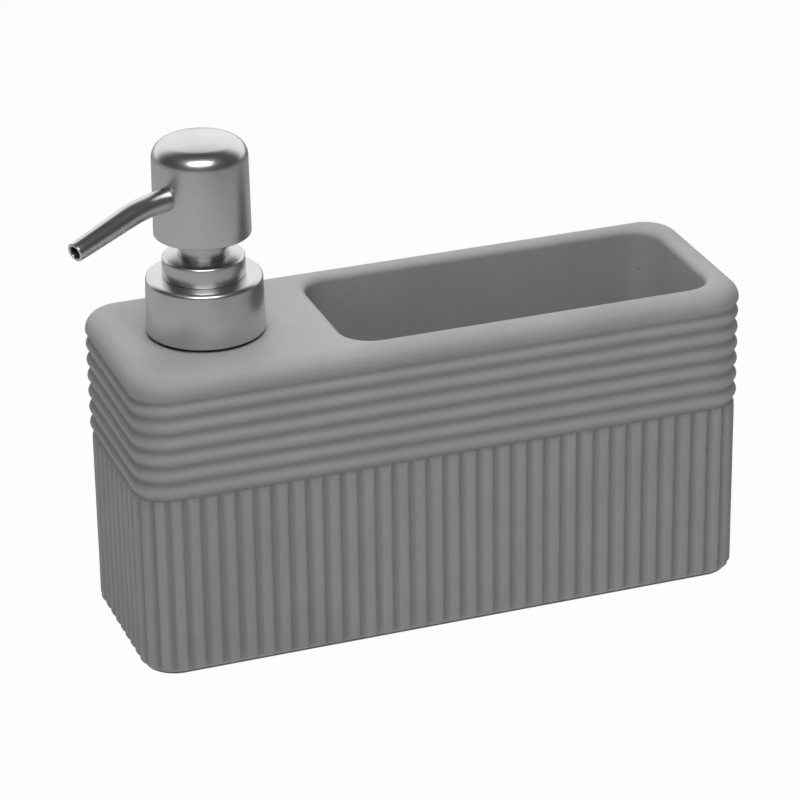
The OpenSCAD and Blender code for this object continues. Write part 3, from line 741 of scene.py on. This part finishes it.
def flute_hollows(tree, g, z, base):
    """How deep between the flutes a point lies, and how deep the plain foot below them."""
    across = calc(tree, "ABSOLUTE", across_wave(tree, named_attribute(tree, "flute", "FLOAT")))
    groove = fade(tree, across, g["Groove from"], 1.0)
    head_start = calc(tree, "SUBTRACT", base, g["Flute head"])
    head = calc(tree, "POWER", fade(tree, z, head_start, base, smooth=False), 2.0)
    head = calc(tree, "MULTIPLY", head, g["Head share"])
    shown = fade(tree, z, g["Flute foot"], calc(tree, "ADD", g["Flute foot"], g["Foot fade"]))
    fluted = calc(tree, "MULTIPLY", shown, calc(tree, "MAXIMUM", groove, head))
    return fluted, calc(tree, "MULTIPLY", calc(tree, "SUBTRACT", 1.0, shown), g["Foot share"])


def store_painted_shade_and_light(tree, geometry, ribbed, rib_hollow, fluted, plain, cut):
    """Keeps the painted shade and light of each point: above 0 for painted shade in grooves, below 0 for
    painted light on crests and the foot.
    """
    node = tree.nodes.new("GeometryNodeStoreNamedAttribute")
    node.data_type = "FLOAT"
    node.domain = "POINT"
    node.inputs["Name"].default_value = "painted_shade_and_light"
    tree.links.new(geometry, node.inputs["Geometry"])
    # Painted shade between the ribs, painted light on their crests and on the plain foot below the flutes
    ribs = calc(tree, "SUBTRACT", calc(tree, "MULTIPLY", rib_hollow, RIB_PAINTED_SHADE), RIB_PAINTED_LIGHT)
    flutes = calc(tree, "SUBTRACT", fluted, calc(tree, "MULTIPLY", plain, FOOT_PAINTED_LIGHT))
    both = between(tree, ribbed, flutes, ribs)
    tree.links.new(calc(tree, "MULTIPLY", both, cut), node.inputs["Value"])
    return node.outputs[0]


def make_rib_tree():
    """Cuts level ribs and upright flutes into a skin, each point drawn in along its way out."""
    tree, given, out = new_tree(
        "Ribs and flutes", "GeometryNodeTree",
        {"Skin": GEOMETRY, "Rib top": NUMBER, "Rib pitch": NUMBER, "Rib count": NUMBER,
         "Rib depth": NUMBER, "Flute depth": NUMBER, "Flute inset": NUMBER, "Groove from": NUMBER,
         "Flute head": NUMBER, "Head share": NUMBER, "Flute foot": NUMBER, "Foot fade": NUMBER,
         "Foot share": NUMBER, "Unevenness": NUMBER, "Uneven scale": NUMBER, "Seed": NUMBER,
         "Finish": MATERIAL},
        {"Body": GEOMETRY})
    g = given.outputs
    place = tree.nodes.new("GeometryNodeInputPosition").outputs[0]
    z = axis_part(tree, place, "Z")
    cut = named_attribute(tree, "cut", "FLOAT")
    base = calc(tree, "SUBTRACT", g["Rib top"], calc(tree, "MULTIPLY", g["Rib pitch"], g["Rib count"]))
    ribbed = calc(tree, "GREATER_THAN", z, calc(tree, "SUBTRACT", base, RIB_EDGE_TOLERANCE * MM))

    rib_hollow = rib_hollows(tree, g, z)
    fluted, plain = flute_hollows(tree, g, z, base)
    rib_inset = calc(tree, "MULTIPLY", rib_hollow, g["Rib depth"])
    flute_depth = calc(tree, "MULTIPLY", calc(tree, "ADD", fluted, plain), g["Flute depth"])
    inset = between(tree, ribbed, calc(tree, "ADD", g["Flute inset"], flute_depth), rib_inset)
    uneven = noise(tree, place, g["Uneven scale"], seed=g["Seed"])
    sway = calc(tree, "MULTIPLY", calc(tree, "SUBTRACT", uneven, 0.5), g["Unevenness"])
    total = calc(tree, "MULTIPLY", calc(tree, "ADD", inset, calc(tree, "ABSOLUTE", sway)), cut)

    shift = tree.nodes.new("ShaderNodeVectorMath")
    shift.operation = "SCALE"
    tree.links.new(named_attribute(tree, "outward", "FLOAT_VECTOR"), shift.inputs[0])
    tree.links.new(calc(tree, "MULTIPLY", total, -1.0), shift.inputs["Scale"])
    moved = tree.nodes.new("GeometryNodeSetPosition")
    tree.links.new(g["Skin"], moved.inputs["Geometry"])
    tree.links.new(shift.outputs[0], moved.inputs["Offset"])
    stored = store_painted_shade_and_light(tree, moved.outputs[0], ribbed, rib_hollow, fluted, plain, cut)
    finish_tree(tree, stored, g["Finish"], out.inputs["Body"])
    return tree


def make_body():
    """The glazed body in one piece, with its ribs and flutes."""
    piece = ceramic_blank()
    run_tree(piece, make_rib_tree(), {
        "Rib top": RIB_TOP * MM, "Rib pitch": RIB_PITCH * MM, "Rib count": float(RIB_COUNT),
        "Rib depth": RIB_DEPTH * MM, "Flute depth": FLUTE_DEPTH * MM, "Flute inset": FLUTE_INSET * MM,
        "Groove from": GROOVE_FROM, "Flute head": FLUTE_HEAD * MM, "Head share": HEAD_SHARE,
        "Flute foot": FLUTE_FOOT * MM, "Foot fade": FOOT_FADE * MM, "Foot share": FOOT_SHARE,
        "Unevenness": UNEVENNESS * MM, "Uneven scale": UNEVEN_SCALE, "Seed": 4.0, "Finish": GLAZE})
    for label in ("flute", "cut", "outward"):
        piece.data.attributes.remove(piece.data.attributes[label])
    finish_mesh(piece, BODY_SHARP_DEGREES)
    dress(piece, GLAZE, "caddy", ["ceramic_body"])


PAD_MARGIN = 3.0

# Inset and height of each level of the pad's edge
PAD_LEVELS = ((0.2, 0.0), (0.05, 0.08), (0.0, 0.2), (0.0, 0.4), (0.05, 0.52), (0.2, FOOT_Z))


def make_pad():
    """Foam sheet under the foot, with softened edges."""
    low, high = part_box("base_pad")
    radius = CORNER_R - FLUTE_INSET - BASE_ROLL - PAD_MARGIN
    work = bmesh.new()
    rings = [level_ring(work, low.x / MM, high.x / MM, high.y / MM, radius, inset, z)
             for inset, z in PAD_LEVELS]
    bridge(work, rings)
    work.faces.new(rings[0])
    work.faces.new(rings[-1])
    piece = link_work("foam_pad", work)
    finish_mesh(piece)
    dress(piece, FOAM, "caddy", ["base_pad"])


# The turned pieces of the pump, with heights in millimetres above the deck

def above_deck(node):
    """The foot and the top of a piece of the pump."""
    return [round(z - DECK_Z, 2) for z in span(node, Z)]


def pump_radius(node):
    """The outer radius of a piece about the pump's axis."""
    return round(span(node, X)[1] - PUMP_X, 2)


COLLAR_FOOT_Z, COLLAR_TOP_Z = above_deck("collar_shell")
COLLAR_FOOT_R, COLLAR_TOP_R, COLLAR_BORE_R = pump_radius("collar_shell"), 16.55, 9.05
COLLAR_WALL = 1.2
RING_FOOT_Z, RING_TOP_Z = above_deck("lock_ring")
RING_SEAT_Z, RING_EDGE_Z = 17.15, 22.9
RING_R, RING_TOP_R, RING_NECK_R, RING_BORE_R = pump_radius("lock_ring"), 11.7, 9.0, 7.15
SLEEVE_FOOT_Z, SLEEVE_TOP_Z = above_deck("stem_sleeve")
SLEEVE_R, SLEEVE_BORE_R = pump_radius("stem_sleeve"), 6.0
HEAD_FOOT_Z, _ = above_deck("head_shell")
HEAD_R, HEAD_TOP_R, HEAD_WALL = pump_radius("head_shell"), 13.5, 1.3
SHOULDER_Z, SHOULDER_R, DOME_SLOPE = 52.0, 5.0, 12.0


def turned_piece(name, section, body, node, segments=160):
    """A silver piece: a closed outline of radius and height, turned about the pump's axis."""
    work = bmesh.new()
    rings = []
    for i in range(segments):
        angle = 2 * math.pi * i / segments
        out = Vector((math.cos(angle), math.sin(angle), 0))
        rings.append([work.verts.new(PUMP_FOOT + out * (r * MM) + Vector((0, 0, z * MM)))
                      for r, z in section])
    for i in range(segments):
        here, there = rings[i], rings[(i + 1) % segments]
        for k in range(len(section)):
            after = (k + 1) % len(section)
            corners = [here[k], there[k], there[after], here[after]]
            if section[k][0] == 0 and section[after][0] == 0:
                continue
            if section[k][0] == 0:
                corners.remove(there[k])
            elif section[after][0] == 0:
                corners.remove(there[after])
            work.faces.new(corners)
    piece = link_work(name, work)
    finish_mesh(piece)
    dress(piece, SILVER, body, [node])


def make_collar():
    inner_foot_r, inner_top_r = COLLAR_FOOT_R - COLLAR_WALL, COLLAR_TOP_R - COLLAR_WALL
    ceiling = COLLAR_TOP_Z - COLLAR_WALL
    section = [(inner_foot_r, COLLAR_FOOT_Z), (COLLAR_FOOT_R, COLLAR_FOOT_Z), (COLLAR_TOP_R, COLLAR_TOP_Z),
               (COLLAR_BORE_R, COLLAR_TOP_Z), (COLLAR_BORE_R, ceiling), (inner_top_r, ceiling)]
    radii = (0.15, 0.3, 1.3, 0.3, 0.1, 0.2)
    turned_piece("collar", rounded(section, radii, 8), "pump", "collar_shell")


def make_ring():
    """The lock ring, whose top slopes outward to a rounded edge."""
    section = [(RING_BORE_R, RING_FOOT_Z), (RING_NECK_R, RING_FOOT_Z), (RING_NECK_R, RING_SEAT_Z),
               (RING_R, RING_SEAT_Z), (RING_TOP_R, RING_EDGE_Z), (RING_BORE_R, RING_TOP_Z)]
    radii = (0.1, 0.1, 0.02, 0.25, 0.8, 0.08)
    turned_piece("lock_ring", rounded(section, radii, 8), "pump", "lock_ring")


def make_sleeve():
    section = [(SLEEVE_BORE_R, SLEEVE_FOOT_Z), (SLEEVE_R, SLEEVE_FOOT_Z), (SLEEVE_R, SLEEVE_TOP_Z),
               (SLEEVE_BORE_R, SLEEVE_TOP_Z)]
    turned_piece("stem_sleeve", rounded(section, (0.1, 0.25, 0.1, 0.1)), "head", "stem_sleeve")


def head_outline(wall, steps):
    """From the lower edge up the side, round the shoulder and over the dome, drawn in by a wall."""
    r = SHOULDER_R - wall
    x = HEAD_TOP_R - SHOULDER_R
    end = math.radians(90 - DOME_SLOPE)
    end_x, end_z = x + r * math.cos(end), SHOULDER_Z + r * math.sin(end)
    dome_r = end_x / math.sin(math.radians(DOME_SLOPE))
    dome_z = end_z - dome_r * math.cos(math.radians(DOME_SLOPE))
    points = [(HEAD_R - wall, HEAD_FOOT_Z)]
    for k in range(steps + 1):
        angle = end * k / steps
        points.append((x + r * math.cos(angle), SHOULDER_Z + r * math.sin(angle)))
    for k in range(1, steps):
        angle = end + (math.pi / 2 - end) * k / steps
        points.append((dome_r * math.cos(angle), dome_z + dome_r * math.sin(angle)))
    points.append((0.0, dome_z + dome_r))
    return points


def make_head():
    outside, inside = head_outline(0.0, 16), head_outline(HEAD_WALL, 10)
    edge = [(HEAD_R - HEAD_WALL, HEAD_FOOT_Z), (HEAD_R, HEAD_FOOT_Z), outside[1]]
    lower = rounded(edge, (0.25, 0.3, 0.0), 4)[:-1]
    turned_piece("pump_head", lower + outside[1:] + inside[:0:-1], "head", "head_shell", segments=192)


# The spout, a tube that runs straight out of the head, bends down and tapers to its tip

SPOUT_TURN = math.radians(180 + 26)
SPOUT_Z = 43.1
SPOUT_START, SPOUT_BEND_AT, SPOUT_REACH = 8.52, 23.0, 46.8
SPOUT_BEND, SPOUT_BEND_R = math.radians(12.8), 40.0
ROOT_R, MID_R, TIP_R, SPOUT_BORE_R = 3.4, 3.15, 2.7, 1.85
ROOT_IN_HEAD = 1.0
TAPER_STEPS, BEND_STEPS, TIP_STEPS = 4, 10, 8
TIP_EDGE, TIP_EDGE_STEPS = 0.25, 4
SPOUT_SIDES = 48
SPOUT_SHARP_DEGREES = 40.0


def spout_line():
    """Centre points of the spout, with its slope down and its outer radius at each."""
    leg = SPOUT_BEND_R * math.tan(SPOUT_BEND / 2)
    bend_start = SPOUT_BEND_AT - leg
    tip_leg = (SPOUT_REACH - SPOUT_BEND_AT) / math.cos(SPOUT_BEND) - leg
    taper_start = HEAD_R - ROOT_IN_HEAD
    stations = [(SPOUT_START, 0.0, 0.0, ROOT_R), (taper_start, 0.0, 0.0, ROOT_R)]
    for k in range(1, TAPER_STEPS + 1):
        x = taper_start + (bend_start - taper_start) * k / TAPER_STEPS
        stations.append((x, 0.0, 0.0, ROOT_R + (MID_R - ROOT_R) * k / TAPER_STEPS))
    for k in range(1, BEND_STEPS + 1):
        angle = SPOUT_BEND * k / BEND_STEPS
        stations.append((bend_start + SPOUT_BEND_R * math.sin(angle),
                         -SPOUT_BEND_R * (1 - math.cos(angle)), angle, MID_R))
    x0, z0 = stations[-1][:2]
    for k in range(1, TIP_STEPS + 1):
        run = tip_leg * k / TIP_STEPS
        stations.append((x0 + run * math.cos(SPOUT_BEND), z0 - run * math.sin(SPOUT_BEND), SPOUT_BEND,
                         MID_R + (TIP_R - MID_R) * k / TIP_STEPS))
    return stations


def spout_ring(work, x, z, angle, radius, shift=0.0):
    """Vertices round the spout at a station, shifted along it."""
    along = Vector((math.cos(angle), 0, -math.sin(angle)))
    up = Vector((math.sin(angle), 0, math.cos(angle)))
    side = Vector((0, 1, 0))
    centre = Vector((x, 0, z)) + along * shift
    turns = [2 * math.pi * k / SPOUT_SIDES for k in range(SPOUT_SIDES)]
    return [work.verts.new(centre + up * (radius * math.cos(turn)) + side * (radius * math.sin(turn)))
            for turn in turns]


def make_spout():
    """A thin drawn tube with a round-edged open tip."""
    stations = spout_line()
    work = bmesh.new()
    rings = [spout_ring(work, *station) for station in stations[:-1]]
    x, z, angle, radius = stations[-1]
    edge = quarter_turn(TIP_EDGE_STEPS)
    for s, c in edge:
        rings.append(spout_ring(work, x, z, angle, radius - TIP_EDGE * (1 - c), -TIP_EDGE * (1 - s)))
    for s, c in reversed(edge):
        rings.append(spout_ring(work, x, z, angle, SPOUT_BORE_R + TIP_EDGE * (1 - c), -TIP_EDGE * (1 - s)))
    for x, z, angle, _ in reversed(stations[:-1]):
        rings.append(spout_ring(work, x, z, angle, SPOUT_BORE_R))
    rings.append(rings[0])
    bridge(work, rings)
    root = Matrix.Translation(PUMP_FOOT + Vector((0, 0, SPOUT_Z * MM)))
    place = root @ Matrix.Rotation(SPOUT_TURN, 4, "Z") @ Matrix.Scale(MM, 4)
    bmesh.ops.transform(work, matrix=place, verts=work.verts)
    piece = link_work("spout", work)
    finish_mesh(piece, SPOUT_SHARP_DEGREES)
    dress(piece, SILVER, "head", ["spout_tube"])


# The return spring

SPRING_TURNS, WIRE_R = 9.0, 0.45
COIL_R = pump_radius("return_spring") - WIRE_R
COIL_POINTS_A_TURN, WIRE_SIDES = 32, 10
SPRING_SHARP_DEGREES = 60.0


def make_spring_tree():
    """A round wire wound along a coil."""
    tree, given, out = new_tree(
        "Wound spring", "GeometryNodeTree",
        {"Turns": NUMBER, "Coil radius": NUMBER, "Height": NUMBER, "Wire radius": NUMBER,
         "Foot": VECTOR, "Finish": MATERIAL},
        {"Spring": GEOMETRY})
    g = given.outputs
    coil = tree.nodes.new("GeometryNodeCurveSpiral")
    coil.inputs["Resolution"].default_value = COIL_POINTS_A_TURN
    for label, source in (("Rotations", "Turns"), ("Start Radius", "Coil radius"),
                          ("End Radius", "Coil radius"), ("Height", "Height")):
        tree.links.new(g[source], coil.inputs[label])
    wire = tree.nodes.new("GeometryNodeCurvePrimitiveCircle")
    wire.inputs["Resolution"].default_value = WIRE_SIDES
    tree.links.new(g["Wire radius"], wire.inputs["Radius"])
    swept = tree.nodes.new("GeometryNodeCurveToMesh")
    tree.links.new(coil.outputs[0], swept.inputs["Curve"])
    tree.links.new(wire.outputs[0], swept.inputs["Profile Curve"])
    swept.inputs["Fill Caps"].default_value = True
    placed = tree.nodes.new("GeometryNodeTransform")
    tree.links.new(swept.outputs[0], placed.inputs["Geometry"])
    tree.links.new(g["Foot"], placed.inputs["Translation"])
    finish_tree(tree, placed.outputs[0], g["Finish"], out.inputs["Spring"])
    return tree


def make_spring():
    """The wire between its two seats, drawn at rest; the real spring shortens from the top as the head is
    pressed.
    """
    low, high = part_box("return_spring")
    wire = WIRE_R * MM
    height = high.z - low.z
    piece = link_object("spring", bpy.data.meshes.new("spring"))
    run_tree(piece, make_spring_tree(), {
        "Turns": SPRING_TURNS, "Coil radius": COIL_R * MM, "Height": height - 2 * wire,
        "Wire radius": wire, "Foot": (PUMP_X * MM, 0.0, low.z + wire), "Finish": STEEL})
    finish_mesh(piece, SPRING_SHARP_DEGREES)
    dress(piece, STEEL, "pump", ["return_spring"])
    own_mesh(piece)


# The hidden pieces, which are shown by their solids

KEPT_SOLIDS = (
    (MOULDED, ("collar_insert", "chaplet", "pump_housing", "ball_retainer", "dip_tube", "stem",
               "actuator_core")),
    (SEAL, ("neck_plug", "flange_gasket", "piston_seal", "spout_seal")),
    (STEEL, ("inlet_ball",)))


def coat_kept_solids():
    for finish, names in KEPT_SOLIDS:
        for name in names:
            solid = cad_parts[name]
            solid.data.materials.clear()
            solid.data.materials.append(finish)


make_body()
make_pad()
make_collar()
make_ring()
make_sleeve()
make_head()
make_spout()
make_spring()
coat_kept_solids()


# Floor, world and lights

FLOOR_HALF = 6.0
FLOOR_SEEN, FLOOR_BOUNCE = 0.965, 0.53
FLOOR_SEEN_COLOUR, FLOOR_BOUNCE_COLOUR = 0.92, 0.35
FLOOR_MIRRORED_LEFT, FLOOR_MIRRORED_RIGHT = 0.3, 0.1
FLOOR_MIRRORED_X = (-0.35, 0.1)
FOOTPRINT_INSET = 2.1
FOOTPRINT_R = (CORNER_R - FOOTPRINT_INSET) * MM
WALL_MIDDLE, WALL_SIDES, WALL_TOP = (0.337, 0.941, 0.0), (0.25, 0.65), (0.66, 0.82)
SOFT_WALL = 0.3
MIRRORED_ROOM, MIRRORED_WALL = 0.08, 1.22
BODY_MIDDLE = (0.0, 0.0, 0.05)
PUMP_MIDDLE = (PUMP_X * MM, 0.0, 0.14)


def outside_corner(tree, place):
    """Distance of a floor point from the rectangle that joins the corner centres of the body."""
    inner = Vector((BODY_L / 2 - CORNER_R, BODY_W / 2 - CORNER_R, 0.0)) * MM
    beyond = vector_calc(tree, "SUBTRACT", vector_calc(tree, "ABSOLUTE", place), inner)
    beyond = vector_calc(tree, "MAXIMUM", beyond, (0.0, 0.0, 0.0))
    return vector_calc(tree, "LENGTH", beyond, output="Value")


def floor_glow(tree, place, rays, seen):
    """How far the floor glows for each kind of ray, and not at all right under the body."""
    shown = calc(tree, "MULTIPLY", seen, FLOOR_SEEN)
    bounced = calc(tree, "MULTIPLY", rays["Is Diffuse Ray"], FLOOR_BOUNCE)
    graded = fade(tree, axis_part(tree, place, "X"), *FLOOR_MIRRORED_X, FLOOR_MIRRORED_LEFT,
                  FLOOR_MIRRORED_RIGHT)
    mirrored = calc(tree, "MULTIPLY", rays["Is Glossy Ray"], graded)
    share = calc(tree, "MAXIMUM", shown, calc(tree, "MAXIMUM", bounced, mirrored))
    open_floor = calc(tree, "GREATER_THAN", outside_corner(tree, place), FOOTPRINT_R)
    return calc(tree, "MULTIPLY", share, open_floor)


def floor_material():
    """White where the camera looks, with the soft shadow kept, and duller in what it lights."""
    material, tree, shader, place = start_material("studio_floor", roughness=0.9)
    shader.inputs["Specular IOR Level"].default_value = 0.1
    paper = mottled(tree, place, Dark=grey(0.62), Light=grey(0.68), Cloud_scale=3.0,
                    Speckle_scale=60.0, Speckle_share=0.2, Seed=30.0)
    glow = tree.nodes.new("ShaderNodeEmission")
    rays = tree.nodes.new("ShaderNodeLightPath").outputs
    seen = calc(tree, "MAXIMUM", rays["Is Camera Ray"], rays["Is Transmission Ray"])
    lit = blend_colours(tree, rays["Is Diffuse Ray"], paper, grey(FLOOR_BOUNCE_COLOUR))
    tree.links.new(blend_colours(tree, seen, lit, grey(FLOOR_SEEN_COLOUR)), shader.inputs["Base Color"])
    mix = tree.nodes.new("ShaderNodeMixShader")
    tree.links.new(floor_glow(tree, place, rays, seen), mix.inputs[0])
    tree.links.new(shader.outputs[0], mix.inputs[1])
    tree.links.new(glow.outputs[0], mix.inputs[2])
    tree.links.new(mix.outputs[0], tree.nodes["Material Output"].inputs["Surface"])
    return material


def make_floor():
    mesh = bpy.data.meshes.new("studio_floor")
    corners = [(x * FLOOR_HALF, y * FLOOR_HALF, 0) for x, y in ((-1, -1), (1, -1), (1, 1), (-1, 1))]
    mesh.from_pydata(corners, [], [(0, 1, 2, 3)])
    floor = link_object("studio_floor", mesh)
    mesh.materials.append(floor_material())


def make_world():
    """White to the camera. A wall behind gives some light, and the metal mirrors it and a dim room."""
    world = bpy.data.worlds.new("studio")
    bpy.context.scene.world = world
    world.use_nodes = True
    tree = world.node_tree
    direction = tree.nodes.new("ShaderNodeTexCoord").outputs["Generated"]
    facing = vector_calc(tree, "DOT_PRODUCT", direction, WALL_MIDDLE, output="Value")
    height = fade(tree, axis_part(tree, direction, "Z"), *WALL_TOP, 1.0, 0.0)
    wall = calc(tree, "MULTIPLY", height, fade(tree, facing, *WALL_SIDES))
    rays = tree.nodes.new("ShaderNodeLightPath").outputs
    soft = calc(tree, "MULTIPLY", wall, SOFT_WALL)
    mirrored = calc(tree, "ADD", calc(tree, "MULTIPLY", wall, MIRRORED_WALL), MIRRORED_ROOM)
    level = fade(tree, rays["Is Glossy Ray"], 0.0, 1.0, soft, mirrored)
    back = tree.nodes["Background"]
    tree.links.new(between(tree, rays["Is Camera Ray"], level, 1.0), back.inputs["Strength"])
    back.inputs["Color"].default_value = grey(1.0)


def add_light(name, place, target, width, height, power, lights=True, mirrored=True):
    """A flat lamp that faces its target. It may light without being mirrored, or the reverse."""
    data = bpy.data.lights.new(name, "AREA")
    data.shape = "RECTANGLE"
    data.size, data.size_y, data.energy = width, height, power
    light = bpy.data.objects.new(name, data)
    way = Vector(target) - Vector(place)
    turn = way.to_track_quat("-Z", "Y").to_matrix().to_4x4()
    light.matrix_world = Matrix.Translation(place) @ turn
    light.visible_diffuse = lights
    light.visible_glossy = mirrored
    bpy.context.scene.collection.objects.link(light)


make_floor()
make_world()
add_light("overhead", (-0.04, -0.19, 0.61), BODY_MIDDLE, 0.34, 0.35, 1.75, mirrored=False)
add_light("overhead_back", (-0.04, 0.14, 0.60), BODY_MIDDLE, 0.3, 0.25, 1.3, mirrored=False)
add_light("front_low", (-0.62, -1.0, 0.40), BODY_MIDDLE, 0.9, 0.42, 1.4, mirrored=False)
add_light("front_softbox", (-0.30, -0.82, 0.99), PUMP_MIDDLE, 0.9, 0.42, 9.6, lights=False)

scene = bpy.context.scene
scene.view_settings.view_transform = "Standard"
